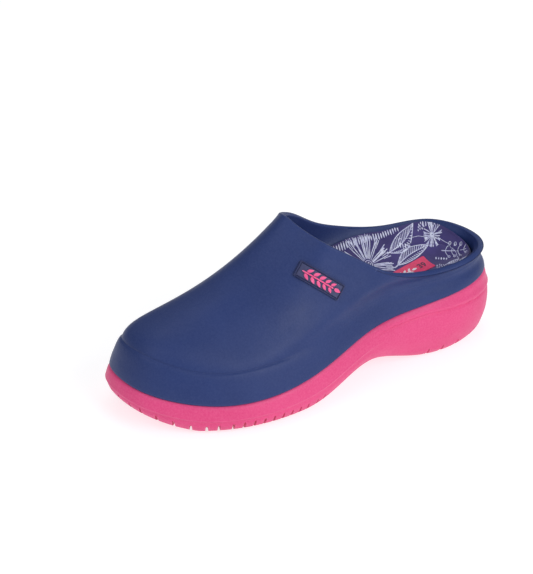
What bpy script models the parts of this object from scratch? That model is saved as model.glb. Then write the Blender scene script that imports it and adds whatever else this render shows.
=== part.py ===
"""Slip-on garden clog for the left foot: a moulded upper on a separate outsole, with a lift-out insole.

Frame: metres, +Z up, toe towards -Y, heel towards +Y, outer side of the foot towards +X.
The origin is at the middle of the clog's footprint, on the ground.
The clog is drawn as a lines plan: level curves round the shoe, lofted into closed shells.
"""

import math

import bmesh
import bpy
import numpy as np
from mathutils import Matrix, Vector
from mathutils.bvhtree import BVHTree

MM = 0.001

# Stations in order round the shoe, from the toe along the outer side to the heel and back.
# Columns in mm: feather line x, y, z; tread edge z; rise to the bumper crease; topline x, y, z;
# top edge of the insole wall above the feather line.
STATIONS = np.array([
    (-12.5, -130.5, 28.5, 10.5, 20.0, -5.0, -11.5, 111.0, 5.0),
    (13.5, -125.0, 26.5, 8.5, 22.0, 4.5, -7.5, 107.0, 5.0),
    (36.5, -100.5, 21.5, 1.0, 20.0, 18.0, -0.5, 102.0, 5.0),
    (50.5, -58.5, 20.0, 0.0, 20.0, 26.0, 11.0, 94.5, 5.5),
    (46.5, -11.5, 27.0, 2.0, 17.0, 31.5, 29.0, 82.5, 8.0),
    (35.0, 31.0, 37.5, 12.0, 16.0, 38.0, 48.0, 72.5, 13.0),
    (32.0, 69.0, 41.0, 2.5, 13.0, 35.0, 78.5, 64.5, 14.0),
    (25.0, 112.5, 43.5, 1.5, 11.0, 27.5, 112.0, 64.5, 11.5),
    (1.5, 130.5, 43.0, 1.0, 11.0, 2.5, 127.5, 62.0, 12.9),
    (-24.0, 112.0, 43.0, 1.5, 11.0, -23.0, 114.0, 65.0, 22.3),
    (-31.5, 69.5, 40.5, 2.5, 13.0, -34.0, 79.0, 65.0, 25.4),
    (-35.0, 21.5, 32.0, 13.0, 16.0, -37.0, 47.5, 72.0, 32.5),
    (-43.5, -33.0, 22.5, 1.5, 17.5, -36.0, 26.0, 82.0, 14.0),
    (-46.0, -80.0, 18.5, 0.0, 19.5, -32.0, 10.0, 94.0, 6.0),
    (-37.5, -111.5, 22.5, 3.5, 20.0, -24.5, -2.0, 102.0, 5.0),
    (-28.0, -124.5, 27.0, 8.0, 20.0, -15.0, -9.5, 108.0, 5.0),
])
SHIFT = (-2.25, 0.0)  # moves the lines plan so that the footprint is centred

AROUND = 64  # points round each loop
GAP = 0.3  # between pieces that touch
WALL = 3.5  # upper
FLOOR = 3.6  # upper, under the foot
LEDGE = 5.0  # width of the upper's seat on the outsole rim
BULGE = 2.5  # outsole side beyond the feather line
TREAD_INSET = 5.0
GROOVE_DEPTH = 2.4
GROOVE_WIDTH = 2.6
INSOLE_TOE = 4.8  # insole thickness at the toe and at the heel
INSOLE_HEEL = 6.0
COVER = 1.0  # insole's fabric
SIDE_CLEARANCE = 1.2  # insole to upper
EDGE_ROLL = 1.6  # the cover starts this much further in
LIFT_AXIS = (-15.0, -119.0, 33.0)  # top front edge of the insole
LIFT_ANGLE = 8.0  # degrees the insole's heel lifts

BADGE_CENTRE = (24.5, -5.5, 78.5)
BADGE_ALONG = (14.0, 23.0, -17.5)
BADGE_SIZE = (33.0, 10.8, 1.4)
LABEL_CENTRE = (0.3, 76.5)
LABEL_SIZE = (12.5, 36.0, 0.4)
LABEL_TURN = math.radians(8.0)

NAVY = (0.035, 0.055, 0.17, 1.0)
PINK = (0.80, 0.07, 0.22, 1.0)
CREAM = (0.85, 0.83, 0.78, 1.0)
PRINT = (0.07, 0.06, 0.22, 1.0)
LABEL_PINK = (0.78, 0.05, 0.16, 1.0)
SLATE = (0.03, 0.035, 0.08, 1.0)


def clear_scene():
    for item in list(bpy.data.objects):
        bpy.data.objects.remove(item, do_unlink=True)


def material(name, colour, roughness):
    made = bpy.data.materials.new(name)
    made.use_nodes = True
    shader = made.node_tree.nodes["Principled BSDF"]
    shader.inputs["Base Color"].default_value = colour
    shader.inputs["Roughness"].default_value = roughness
    made.diffuse_color = colour
    return made


def collection(name):
    made = bpy.data.collections.new(name)
    bpy.context.scene.collection.children.link(made)
    return made


def add_mesh(name, points, faces, home, finish=None):
    """A mesh object from points in mm, with its faces turned outwards."""
    mesh = bpy.data.meshes.new(name)
    mesh.from_pydata((np.asarray(points) * MM).tolist(), [], faces)
    body = bmesh.new()
    body.from_mesh(mesh)
    bmesh.ops.remove_doubles(body, verts=body.verts, dist=1e-7)
    bmesh.ops.recalc_face_normals(body, faces=body.faces)
    if body.calc_volume(signed=True) < 0:
        bmesh.ops.reverse_faces(body, faces=body.faces)
    body.to_mesh(mesh)
    body.free()
    mesh.shade_smooth()
    made = bpy.data.objects.new(name, mesh)
    home.objects.link(made)
    if finish is not None:
        mesh.materials.append(finish)
    return made


def knots():
    """Loop parameter of each station, the same on both sides of the shoe."""
    step = np.linalg.norm(np.roll(STATIONS[:, :2], -1, 0) - STATIONS[:, :2], axis=1)
    step = (step + step[::-1]) / 2
    return np.concatenate([[0.0], np.cumsum(step)]) / step.sum()


def spline_weights(params):
    """Weights of a closed cubic spline through the stations, one row per parameter."""
    knot = knots()
    gap = np.diff(knot)
    count = len(STATIONS)
    left = np.zeros((count, count))
    right = np.zeros((count, count))
    for i in range(count):
        before, after = gap[i - 1], gap[i]
        left[i, i - 1] += before / 6
        left[i, i] += (before + after) / 3
        left[i, (i + 1) % count] += after / 6
        right[i, (i + 1) % count] += 1 / after
        right[i, i] -= 1 / after + 1 / before
        right[i, i - 1] += 1 / before
    bend = np.linalg.solve(left, right)
    weights = np.zeros((len(params), count))
    for row, value in enumerate(params):
        i = min(int(np.searchsorted(knot, value, side="right")) - 1, count - 1)
        j = (i + 1) % count
        a = (knot[i + 1] - value) / gap[i]
        b = 1 - a
        weights[row, i] += a
        weights[row, j] += b
        curve = (a**3 - a) * bend[i] + (b**3 - b) * bend[j]
        weights[row] += curve * gap[i] ** 2 / 6
    return weights


def unit(vectors):
    return vectors / np.linalg.norm(vectors, axis=-1, keepdims=True)


class Lines:
    """Every rail of the shoe, sampled at the same points round the loop."""

    def __init__(self, count):
        self.count = count
        self.u = np.arange(count) / count
        rail = spline_weights(self.u) @ STATIONS
        shift = np.array(SHIFT)
        self.outline = rail[:, 0:2] + shift
        self.feather = rail[:, 2]
        self.tread = np.maximum(rail[:, 3] - 0.4, 0.0)
        self.crease = self.feather + rail[:, 4]
        self.top = np.c_[rail[:, 5:7] + shift, rail[:, 7]]
        self.insole_edge = self.feather + rail[:, 8]
        along = unit(np.roll(self.outline, -1, 0) - np.roll(self.outline, 1, 0))
        self.out = np.c_[along[:, 1], -along[:, 0]]
        self.toe = (1 + np.cos(2 * np.pi * self.u)) / 2
        half = count // 2
        pair = (count - np.arange(half + 1)) % count
        middle = (self.outline[: half + 1] + self.outline[pair]) / 2
        height = (self.feather[: half + 1] + self.feather[pair]) / 2
        self.spine = self.middle_line(np.c_[middle, height])

    def middle_line(self, middle):
        """Points of the middle line without its ends, crowded where the sides fan round it."""
        half = self.count // 2
        index = np.arange(half + 1)
        at = half * (0.5 - 0.355 * np.cos(np.pi * index / half))
        return np.array([np.interp(at, index, column) for column in middle.T]).T

    def ring(self, inset, height):
        """A loop at a distance inside the outline."""
        inset = np.broadcast_to(inset, self.count)
        return np.c_[self.outline - inset[:, None] * self.out, np.broadcast_to(height, self.count)]

    def fold(self, spine):
        """The spine as a loop that runs out along one side and back along the other."""
        i = np.arange(self.count)
        return spine[np.minimum(i, self.count - i)]

    def spine_at(self, rise):
        return self.spine + np.array([0.0, 0.0, 1.0]) * np.reshape(rise, (-1, 1))

    def between(self, ring, spine, share):
        return ring * (1 - share) + self.fold(spine) * share


def vamp_rings(line, shares):
    """Rings of the upper's outside, from the bumper crease (0) to the topline (1)."""
    side = np.exp(-(((line.u - 0.13) / 0.07) ** 2))
    rise = 5.0 + 12.5 * line.toe - 4.0 * side
    lean = 0.12 + 0.06 * side - 0.06 * line.toe**6
    reach = 0.36 + 0.18 * line.toe**2
    drop = 0.34 + 0.57 * line.toe**1.5
    start = line.ring(4.3 + 3.9 * line.toe, line.crease)
    across = (line.top - start)[:, :2]
    first = start.copy()
    first[:, :2] += lean[:, None] * across
    first[:, 2] += rise
    second = line.top.copy()
    second[:, :2] -= reach[:, None] * across
    second[:, 2] -= drop * (line.top - start)[:, 2]
    rings = []
    for s in shares:
        near, far = 1 - s, s
        ring = near**3 * start + 3 * near**2 * far * first + 3 * near * far**2 * second
        rings.append(ring + far**3 * line.top)
    return rings


def outward(rings):
    """Unit normals of a band of rings, pointing away from the foot."""
    grid = np.array(rings)
    up = np.gradient(grid, axis=0)
    around = np.roll(grid, -1, 1) - np.roll(grid, 1, 1)
    return unit(np.cross(around, up))


def loft(name, rings, home, finish):
    """A closed body from loops, whose first and last are spines that both sides share."""
    count = len(rings[1])
    points = []
    index = []
    for ring in rings:
        start = len(points)
        points.extend(ring)
        i = np.arange(count)
        index.append(start + (i if len(ring) == count else np.minimum(i, count - i)))
    faces = []
    for low, high in zip(index, index[1:]):
        for i in range(count):
            j = (i + 1) % count
            faces += split_quad(points, int(low[i]), int(low[j]), int(high[j]), int(high[i]))
    return add_mesh(name, points, faces, home, finish)


def split_quad(points, a, b, c, d):
    """Two triangles along the shorter diagonal, so that parallel skins are split alike."""
    first = np.linalg.norm(points[a] - points[c])
    second = np.linalg.norm(points[b] - points[d])
    if first < second:
        return [[a, b, c], [a, c, d]]
    return [[a, b, d], [b, c, d]]


def bed(line, rise, inset, edge_rise, share=0.5):
    """Rings of a surface under the foot, from its spine to its edge."""
    spine = line.spine_at(rise)
    edge = line.ring(inset, line.feather + edge_rise)
    return [spine, line.between(edge, spine, share), edge]


def make_outsole(line, home, cutters, finish):
    """Outsole: a bulging wall round a shallow seat, with a grooved tread."""
    rise = line.feather - line.tread
    seat = bed(line, -FLOOR - GAP, LEDGE - 0.1, -FLOOR - GAP)
    rim = -GAP / 2
    wall = [
        line.ring(LEDGE - 0.1, line.feather + rim),
        line.ring(0.5, line.feather + rim),
        line.ring(-0.35 * BULGE, line.feather - 0.06 * rise - 0.6),
        line.ring(-0.85 * BULGE, line.feather - 0.22 * rise),
        line.ring(-BULGE, line.feather - 0.42 * rise),
        line.ring(-0.7 * BULGE, line.feather - 0.64 * rise),
        line.ring(0.2 * TREAD_INSET, line.feather - 0.86 * rise),
        line.ring(0.55 * TREAD_INSET, line.tread + 0.04 * rise),
        line.ring(TREAD_INSET, line.tread),
    ]
    flat = np.maximum(line.tread - 1.2, 0.0)
    half = line.count // 2
    pair = (line.count - np.arange(half + 1)) % line.count
    middle = (flat[: half + 1] + flat[pair]) / 2
    spine = line.spine.copy()
    spine[:, 2] = line.middle_line(middle[:, None])[:, 0]
    inner = line.ring(2.2 * TREAD_INSET, flat)
    rings = seat + wall + [inner, line.between(inner, spine, 0.5), spine]
    made = loft("outsole", rings, home, finish)
    grooves = make_grooves(line, line.between(inner, spine, 0.25), cutters)
    cut = made.modifiers.new("tread grooves", "BOOLEAN")
    cut.operation = "DIFFERENCE"
    cut.solver = "EXACT"
    cut.object = grooves
    return made


def groove(body, start, end):
    """A box cutter along a line on the tread, reaching GROOVE_DEPTH into the sole."""
    start, end = Vector(start), Vector(end)
    along = (end - start).normalized()
    across = along.cross(Vector((0.0, 0.0, 1.0))).normalized()
    up = across.cross(along)
    length = (end - start).length
    height = GROOVE_DEPTH + 8.0
    middle = (start + end) / 2 + up * (GROOVE_DEPTH - height / 2)
    turn = Matrix((across, along, up)).transposed().to_4x4()
    size = Matrix.Diagonal((GROOVE_WIDTH * MM, length * MM, height * MM, 1.0))
    bmesh.ops.create_cube(body, size=1.0, matrix=Matrix.Translation(middle * MM) @ turn @ size)


def make_grooves(line, inner, cutters):
    """Tread grooves: a fan round the toe, then bars across the forefoot and the heel."""
    body = bmesh.new()
    edge = line.ring(TREAD_INSET, line.tread)
    for step in range(-5, 6):
        start, end = Vector(inner[step]), Vector(edge[step])
        groove(body, start, end + (end - start).normalized() * 12.0)
    for step in range(5):
        y = -74.0 + 13.0 * step
        groove(body, (-60.0, y - 3.0, 0.0), (62.0, y + 3.0, 0.0))
    for step in range(5):
        y = 74.0 + 12.0 * step
        groove(body, (-45.0, y, 0.0), (45.0, y, 0.0))
    mesh = bpy.data.meshes.new("tread grooves")
    body.to_mesh(mesh)
    body.free()
    made = bpy.data.objects.new("tread grooves", mesh)
    cutters.objects.link(made)
    made.hide_render = True
    made.display_type = "WIRE"
    return made


def upper_skin(line):
    """The upper's outer rings, and the matching inner rings one wall further in."""
    shares = np.linspace(0.0, 1.0, 9)
    outer = vamp_rings(line, shares)
    normal = outward(outer)
    inner = [ring - WALL * face for ring, face in zip(outer, normal)]
    return outer, inner, normal


def make_upper(line, home, finish):
    """Upper: a floor in the outsole's seat, a bumper band, a vamp and a rounded collar."""
    outer, inner, normal = upper_skin(line)
    up = unit(outer[-1] - outer[-2])
    underside = bed(line, -FLOOR, LEDGE + 0.2, -FLOOR)
    rise = line.crease - line.feather
    tuck = 4.3 + 3.9 * line.toe
    band = [
        line.ring(LEDGE + 0.2, line.feather + GAP / 2),
        line.ring(0.7, line.feather + GAP / 2),
        line.ring(0.0, line.feather + 1.2),
        line.ring(0.30 * tuck - 0.7, line.feather + 0.36 * rise),
        line.ring(0.68 * tuck - 0.6, line.feather + 0.76 * rise),
    ]
    collar = [
        outer[-1] - 1.2 * up,
        outer[-1] - 0.3 * WALL * normal[-1] - 0.2 * up,
        outer[-1] - 0.7 * WALL * normal[-1] - 0.2 * up,
        inner[-1] - 1.2 * up,
    ]
    lining = inner[-2::-1]
    floor = bed(line, 0.0, 11.0, 0.2)[::-1]
    seat = [line.ring(6.5, line.feather + 3.0), line.ring(9.2, line.feather + 0.6)]
    rings = underside + band + outer[:-1] + collar + lining + seat + floor
    return loft("upper", rings, home, finish)


def wall_tree(line):
    """The upper's inner wall from its foot to the topline, to measure clearance against."""
    outer, inner, normal = upper_skin(line)
    rings = [line.ring(6.5, line.feather + 3.0)] + inner
    faces = []
    for band in range(len(rings) - 1):
        low = band * line.count
        for i in range(line.count):
            j = (i + 1) % line.count
            faces.append([low + i, low + j, low + line.count + j, low + line.count + i])
    return rings, BVHTree.FromPolygons(np.concatenate(rings).tolist(), faces)


def clearance(tree, point, out):
    """Distance from the inner wall, negative beyond it; out points towards the wall."""
    near, face, index, distance = tree.find_nearest(Vector(point))
    side = face.x * out[0] + face.y * out[1]
    ahead = (near - Vector(point)).dot(face)
    return distance if ahead * side >= 0 else -distance


def beside_wall(line, wall, height, inward):
    """A loop at a height, inside the upper's inner wall there and wherever it lifts past."""
    rings, tree = wall
    found = line.ring(0.0, height)
    for i in range(line.count):
        levels = [ring[i, 2] for ring in rings]
        for axis in (0, 1):
            found[i, axis] = np.interp(height[i], levels, [ring[i, axis] for ring in rings])
        found[i, :2] -= inward * line.out[i]
        for attempt in range(4):
            short = 0.0
            for share in np.linspace(0.0, 1.0, 7):
                turn = math.radians(LIFT_ANGLE) * share
                ahead, above = found[i, 1] - LIFT_AXIS[1], height[i] - LIFT_AXIS[2]
                y = LIFT_AXIS[1] + ahead * math.cos(turn) - above * math.sin(turn)
                z = LIFT_AXIS[2] + ahead * math.sin(turn) + above * math.cos(turn)
                room = clearance(tree, (found[i, 0], y, z), line.out[i])
                short = max(short, inward - room)
            found[i, :2] -= short * line.out[i]
    return found


def insole_top(line, wall):
    """Rings of the footbed's upper face, from the top of its side wall to its spine."""
    half = line.count // 2
    start = beside_wall(line, wall, line.insole_edge, SIDE_CLEARANCE + EDGE_ROLL)
    thick = INSOLE_HEEL + (INSOLE_TOE - INSOLE_HEEL) * line.toe
    arch = np.exp(-(((line.u - 0.67) / 0.08) ** 2))
    control = line.ring(15.0 + 5.0 * arch, line.feather + thick)
    spine = line.spine_at(np.linspace(INSOLE_TOE, INSOLE_HEEL, half + 1))
    end = line.fold(spine)
    rings = []
    for s in (0.0, 0.2, 0.4, 0.6, 0.8):
        rings.append((1 - s) ** 2 * start + 2 * s * (1 - s) * control + s * s * end)
    return rings, spine


def beneath(line, rings, spine, depth):
    """The same rings lowered into the footbed, further where its face is steep."""
    grid = np.array(rings + [line.fold(spine)])
    along = np.roll(grid, -1, 1) - np.roll(grid, 1, 1)
    face = unit(np.cross(along, np.gradient(grid, axis=0)))
    drop = depth / np.maximum(np.abs(face[:, :, 2]), 0.8)
    return [ring - np.c_[np.zeros((line.count, 2)), fall] for ring, fall in zip(rings, drop)]


def make_insole(line, home, foam_finish, cover_finish):
    """Insole: a foam footbed with raised sides, and its fabric top cover."""
    wall = wall_tree(line)
    top, spine = insole_top(line, wall)
    under = beneath(line, top, spine, COVER)
    foam_top = beneath(line, top, spine, COVER + GAP)
    down = np.array([0.0, 0.0, -1.0])
    under_spine = spine + COVER * down
    foam_spine = spine + (COVER + GAP) * down
    low = line.feather + 3.2
    side = []
    for share in (0.0, 0.3, 0.55, 0.78, 1.0):
        height = low + share * (line.insole_edge - 0.3 - low)
        side.append(beside_wall(line, wall, height, SIDE_CLEARANCE + 0.6 * (1 - share) ** 2))
    foot = bed(line, 0.5, 11.0, 0.7)
    foam = loft("insole_foam", foot + side + foam_top + [foam_spine], home, foam_finish)
    skin = [under_spine] + under[::-1] + top + [spine]
    cover = loft("insole_cover", skin, home, cover_finish)
    return foam, cover


def tree_of(made):
    body = bmesh.new()
    body.from_mesh(made.data)
    tree = BVHTree.FromBMesh(body)
    body.free()
    return tree


def patch_frame(tree, centre, towards, along):
    """Where a line meets a surface, with the normal there and two directions on the surface."""
    start = (Vector(centre) - Vector(towards) * 30.0) * MM
    spot, normal, _, _ = tree.ray_cast(start, Vector(towards))
    side = (along - normal * along.dot(normal)).normalized()
    return spot, normal, side, normal.cross(side)


def drop_on(tree, frame, a, b, height):
    """A point some mm above the surface, under a place given along the patch's own axes."""
    spot, normal, side, rise = frame
    start = spot + side * (a * MM) + rise * (b * MM) + normal * (12 * MM)
    hit, face, _, _ = tree.ray_cast(start, -normal, 30 * MM)
    return (hit + normal * (height * MM / max(0.6, abs(face.dot(normal))))) / MM


def patch(name, tree, frame, flat, triangles, low, high, home, finish):
    """A thin plate over a flat outline, following a surface between two heights above it."""
    points = [drop_on(tree, frame, a, b, height) for height in (low, high) for a, b in flat]
    count = len(flat)
    edges = {(t[k], t[(k + 1) % 3]) for t in triangles for k in range(3)}
    faces = [list(reversed(t)) for t in triangles]
    faces += [[count + k for k in t] for t in triangles]
    for a, b in sorted(edges):
        if (b, a) not in edges:
            faces += [[a, b, count + b], [a, count + b, count + a]]
    return add_mesh(name, points, faces, home, finish)


def rectangle(size, cells):
    """Points and triangles of a flat rectangle, in mm."""
    columns, rows = cells
    flat = []
    for j in range(rows + 1):
        for i in range(columns + 1):
            flat.append(((i / columns - 0.5) * size[0], (j / rows - 0.5) * size[1]))
    triangles = []
    for j in range(rows):
        for i in range(columns):
            k = j * (columns + 1) + i
            above = k + columns + 1
            triangles += [[k, k + 1, above + 1], [k, above + 1, above]]
    return flat, triangles


def sprig():
    """Points and triangles of a leafy twig: a stem with paired leaves and one at its tip."""
    half = 0.5
    joints = [-13.5]
    for step in range(5):
        joints += [-11.5 + 4.5 * step, -9.8 + 4.5 * step]
    joints.append(11.4)
    flat = [(x, side * half) for x in joints for side in (1, -1)]
    triangles = []
    for k in range(0, len(flat) - 2, 2):
        triangles += [[k, k + 1, k + 3], [k, k + 3, k + 2]]
    for step in range(5):
        x = joints[1 + 2 * step]
        tall = 3.7 - 0.3 * abs(step - 1.5)
        for side in (0, 1):
            sign = 1 - 2 * side
            root = 2 * (1 + 2 * step) + side
            tip = len(flat)
            flat += [(x + 0.7, sign * 0.62 * tall), (x + 2.6, sign * tall)]
            flat += [(x + 3.3, sign * 0.6 * tall)]
            leaf = [[root, root + 2, tip], [tip, root + 2, tip + 2], [tip, tip + 2, tip + 1]]
            triangles += leaf if side == 0 else [list(reversed(t)) for t in leaf]
    end = 2 * len(joints) - 2
    tip = len(flat)
    flat += [(12.2, 1.4), (12.2, -1.4), (14.6, 0.0)]
    triangles += [[end, end + 1, tip + 1], [end, tip + 1, tip], [tip, tip + 1, tip + 2]]
    return flat, triangles


def make_badge(upper, home, plate_finish, emblem_finish):
    """Rectangular rubber badge on the outer side of the upper, with its raised emblem."""
    tree = tree_of(upper)
    frame = patch_frame(tree, BADGE_CENTRE, (-0.87, 0.2, -0.45), Vector(BADGE_ALONG))
    thick = BADGE_SIZE[2]
    high = GAP + thick
    flat, triangles = rectangle(BADGE_SIZE, (9, 4))
    plate = patch("badge_plate", tree, frame, flat, triangles, GAP, high, home, plate_finish)
    flat, triangles = sprig()
    tree = tree_of(plate)
    patch("badge_emblem", tree, frame, flat, triangles, GAP, GAP + 0.7, home, emblem_finish)


def make_label(cover, home, finish):
    """Printed patch on the heel of the insole cover."""
    tree = tree_of(cover)
    centre = (LABEL_CENTRE[0] + SHIFT[0], LABEL_CENTRE[1] + SHIFT[1], 60.0)
    across = Vector((math.cos(LABEL_TURN), math.sin(LABEL_TURN), 0.0))
    frame = patch_frame(tree, centre, (0.0, 0.0, -1.0), across)
    flat, triangles = rectangle(LABEL_SIZE, (4, 10))
    high = GAP + LABEL_SIZE[2]
    patch("insole_label", tree, frame, flat, triangles, GAP, high, home, finish)


def main():
    clear_scene()
    clog = collection("garden_clog")
    cutters = collection("cutters")
    line = Lines(AROUND)
    make_outsole(line, clog, cutters, material("outsole_rubber", PINK, 0.45))
    upper = make_upper(line, clog, material("upper_rubber", NAVY, 0.5))
    foam_finish = material("insole_foam", CREAM, 0.8)
    _, cover = make_insole(line, clog, foam_finish, material("insole_fabric", PRINT, 0.9))
    make_label(cover, clog, material("label_film", LABEL_PINK, 0.4))
    make_badge(upper, clog, material("badge_rubber", SLATE, 0.5), material("badge_pink", PINK, 0.45))
    bpy.context.view_layer.update()


main()
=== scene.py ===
from math import copysign, cos, exp, hypot, pi, radians, sin

import bmesh
import bpy
import numpy as np
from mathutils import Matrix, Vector
from mathutils.bvhtree import BVHTree


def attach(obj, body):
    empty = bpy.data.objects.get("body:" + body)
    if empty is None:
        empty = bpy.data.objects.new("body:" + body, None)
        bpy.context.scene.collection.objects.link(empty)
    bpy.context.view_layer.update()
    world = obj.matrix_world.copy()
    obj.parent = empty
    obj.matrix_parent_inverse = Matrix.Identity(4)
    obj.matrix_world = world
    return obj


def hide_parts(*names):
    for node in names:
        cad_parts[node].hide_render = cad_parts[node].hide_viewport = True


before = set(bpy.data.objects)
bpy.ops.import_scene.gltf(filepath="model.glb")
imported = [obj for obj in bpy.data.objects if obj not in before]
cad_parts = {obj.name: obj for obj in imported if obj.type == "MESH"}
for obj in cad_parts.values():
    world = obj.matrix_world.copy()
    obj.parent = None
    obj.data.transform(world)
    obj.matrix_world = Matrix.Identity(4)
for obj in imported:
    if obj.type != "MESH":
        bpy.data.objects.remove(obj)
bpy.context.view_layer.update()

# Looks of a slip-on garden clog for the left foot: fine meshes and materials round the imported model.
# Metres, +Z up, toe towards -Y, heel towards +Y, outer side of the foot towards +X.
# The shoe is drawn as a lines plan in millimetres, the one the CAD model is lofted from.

MM = 0.001
UP = Vector((0, 0, 1))

# Stations in order round the shoe, from the toe along the outer side to the heel and back.
# Columns in mm: feather line x, y, z; tread edge z; rise to the bumper crease; topline x, y, z;
# top edge of the insole wall above the feather line.
STATIONS = np.array([
    (-12.5, -130.5, 28.5, 10.5, 20, -5, -11.5, 111, 5),
    (13.5, -125, 26.5, 8.5, 22, 4.5, -7.5, 107, 5),
    (36.5, -100.5, 21.5, 1, 20, 18, -0.5, 102, 5),
    (50.5, -58.5, 20, 0, 20, 26, 11, 94.5, 5.5),
    (46.5, -11.5, 27, 2, 17, 31.5, 29, 82.5, 8),
    (35, 31, 37.5, 12, 16, 38, 48, 72.5, 13),
    (32, 69, 41, 2.5, 13, 35, 78.5, 64.5, 14),
    (25, 112.5, 43.5, 1.5, 11, 27.5, 112, 64.5, 11.5),
    (1.5, 130.5, 43, 1, 11, 2.5, 127.5, 62, 12.9),
    (-24, 112, 43, 1.5, 11, -23, 114, 65, 22.3),
    (-31.5, 69.5, 40.5, 2.5, 13, -34, 79, 65, 25.4),
    (-35, 21.5, 32, 13, 16, -37, 47.5, 72, 32.5),
    (-43.5, -33, 22.5, 1.5, 17.5, -36, 26, 82, 14),
    (-46, -80, 18.5, 0, 19.5, -32, 10, 94, 6),
    (-37.5, -111.5, 22.5, 3.5, 20, -24.5, -2, 102, 5),
    (-28, -124.5, 27, 8, 20, -15, -9.5, 108, 5),
])
SHIFT = (-2.25, 0.0)  # moves the lines plan so that the footprint is centred

# Measures in mm.
GAP = 0.3  # between pieces that touch
WALL = 3.5  # upper
FLOOR = 3.6  # upper, under the foot
LEDGE = 5.0  # width of the upper's seat on the outsole rim
COLLAR_ROLL = 1.25  # height of the collar's rounded edge
WALL_FOOT = (6.5, 3.0)  # foot of the upper's inner wall: inset, and rise above the feather line
TREAD_INSET = 5
NOTCH = 1.7  # width of the notches at the tread's edge
BAR = 2.0  # width of the channels across the tread
CUT = 2.2  # depth of both
CUTTER_REACH = 10.0  # cutters reach this far out of the tread
INSOLE_TOE = 4.8  # insole thickness at the toe and at the heel
INSOLE_HEEL = 6
COVER = 1.0  # insole's fabric
CUP_GROOVE = 0.8  # depth of the line round the heel cup
SIDE_CLEARANCE = 1.2  # insole to upper
EDGE_ROLL = 1.6  # the cover starts this much further in
EDGE_LIP = 1.3  # height of the cover's rolled edge
STEEP = 0.8  # faces steeper than this are lowered no further
LIFT_AXIS = (-15.0, -119.0, 33.0)  # top front edge of the insole
LIFT_ANGLE = 8.0  # degrees the insole's heel lifts

BADGE_CENTRE = (24.5, -5.5, 78.5)
BADGE_ALONG = (14, 23, -17.5)
BADGE_SIZE = (33, 10.8)
LABEL_CENTRE = (0.3, 76.5)
LABEL_SIZE = (12.5, 36)
LABEL_TURN = radians(8)
PLATE_FILL = 8  # rings from a plate's edge to its middle
INK_STEP = 1.3  # longest step along a printed stroke
SHORTEST_STROKE = 0.3
INK_LEVELS = (-0.12, 0.07)  # under and top of the ink, from the cover

# Camera and stage, in metres; each light is a name, bearing, elevation, distance, size and power.
CAMERA = (1.5406, -0.9002, 1.1071)
TARGET = (-0.1013, 0.0280, 0)
LENS = 205.8
LIGHTS = (("key", 108, 33, 1.3, 0.9, 9.5), ("front", 15, 40, 1.5, 1, 4.5),
          ("top", 250, 70, 1.5, 1.2, 4.5))
AIM = (0, 0, 0.05)
FLOOR_SIZE, FLOOR_LEVEL, FLOOR_GLOW = 6.0, -0.0002, 0.7
ROOM_LIGHT = 0.35

# Each rubber has its colour, a deeper one for random clouds, and a paler one used in random flecks and as a
# painted highlight on convex edges.
NAVY = (0.015, 0.034, 0.142)
NAVY_DEEP = (0.010, 0.026, 0.118)
NAVY_FLECK_AND_EDGE_HIGHLIGHT = (0.050, 0.075, 0.210)
PINK = (0.730, 0.058, 0.210)
PINK_DEEP = (0.660, 0.043, 0.175)
PINK_FLECK_AND_EDGE_HIGHLIGHT = (0.860, 0.190, 0.360)

# ---- mesh helpers


def linked(name, data):
    """A new object in the scene."""
    made = bpy.data.objects.new(name, data)
    bpy.context.scene.collection.objects.link(made)
    return made


def add_mesh(name, points, faces, finishes, slots=None, sharp=None):
    """A smooth mesh object from points in mm, with its faces turned outwards."""
    mesh = bpy.data.meshes.new(name)
    mesh.from_pydata((np.asarray(points) * MM).tolist(), [], faces)
    for finish in finishes:
        mesh.materials.append(finish)
    if slots is not None:
        mesh.polygons.foreach_set("material_index", slots)
    body = bmesh.new()
    body.from_mesh(mesh)
    bmesh.ops.remove_doubles(body, verts=body.verts, dist=2e-7)
    bmesh.ops.recalc_face_normals(body, faces=body.faces)
    if body.calc_volume(signed=True) < 0:
        bmesh.ops.reverse_faces(body, faces=body.faces)
    body.to_mesh(mesh)
    body.free()
    mesh.shade_smooth()
    if sharp is not None:
        mesh.set_sharp_from_angle(angle=radians(sharp))
    return linked(name, mesh)


def evaluated(made):
    """The mesh that an object's modifiers or text make."""
    graph = bpy.context.evaluated_depsgraph_get()
    return bpy.data.meshes.new_from_object(made.evaluated_get(graph))


def quads(bands, count):
    """Faces between loops of one length that follow each other."""
    faces = []
    for low in range(0, bands * count, count):
        for i in range(count):
            j = (i + 1) % count
            faces.append([low + i, low + j, low + count + j, low + count + i])
    return faces


def loft(name, rings, finishes, slot_of=None):
    """A closed body from loops of one length, whose first and last fold onto a middle line."""
    count, bands = len(rings[0]), len(rings) - 1
    slots = [slot_of(band) if slot_of else 0 for band in range(bands) for _ in range(count)]
    return add_mesh(name, np.concatenate(rings), quads(bands, count), finishes, slots)


def unit(vectors):
    return vectors / np.linalg.norm(vectors, axis=-1, keepdims=True)


def run_of(path):
    """Length along a path up to each of its points."""
    return np.concatenate([[0], np.cumsum(np.linalg.norm(np.diff(path, axis=0), axis=1))])


def sampled(path, run, at):
    """Points of a path at some lengths along it."""
    return np.array([np.interp(at, run, column) for column in np.transpose(path)]).T


def ramp(values, low, high):
    """0 below low, 1 above high, and smooth in between."""
    t = np.clip((np.asarray(values, float) - low) / (high - low), 0, 1)
    return t * t * (3 - 2 * t)


def bell(values, middle, width):
    return np.exp(-(((np.asarray(values, float) - middle) / width) ** 2))


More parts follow.
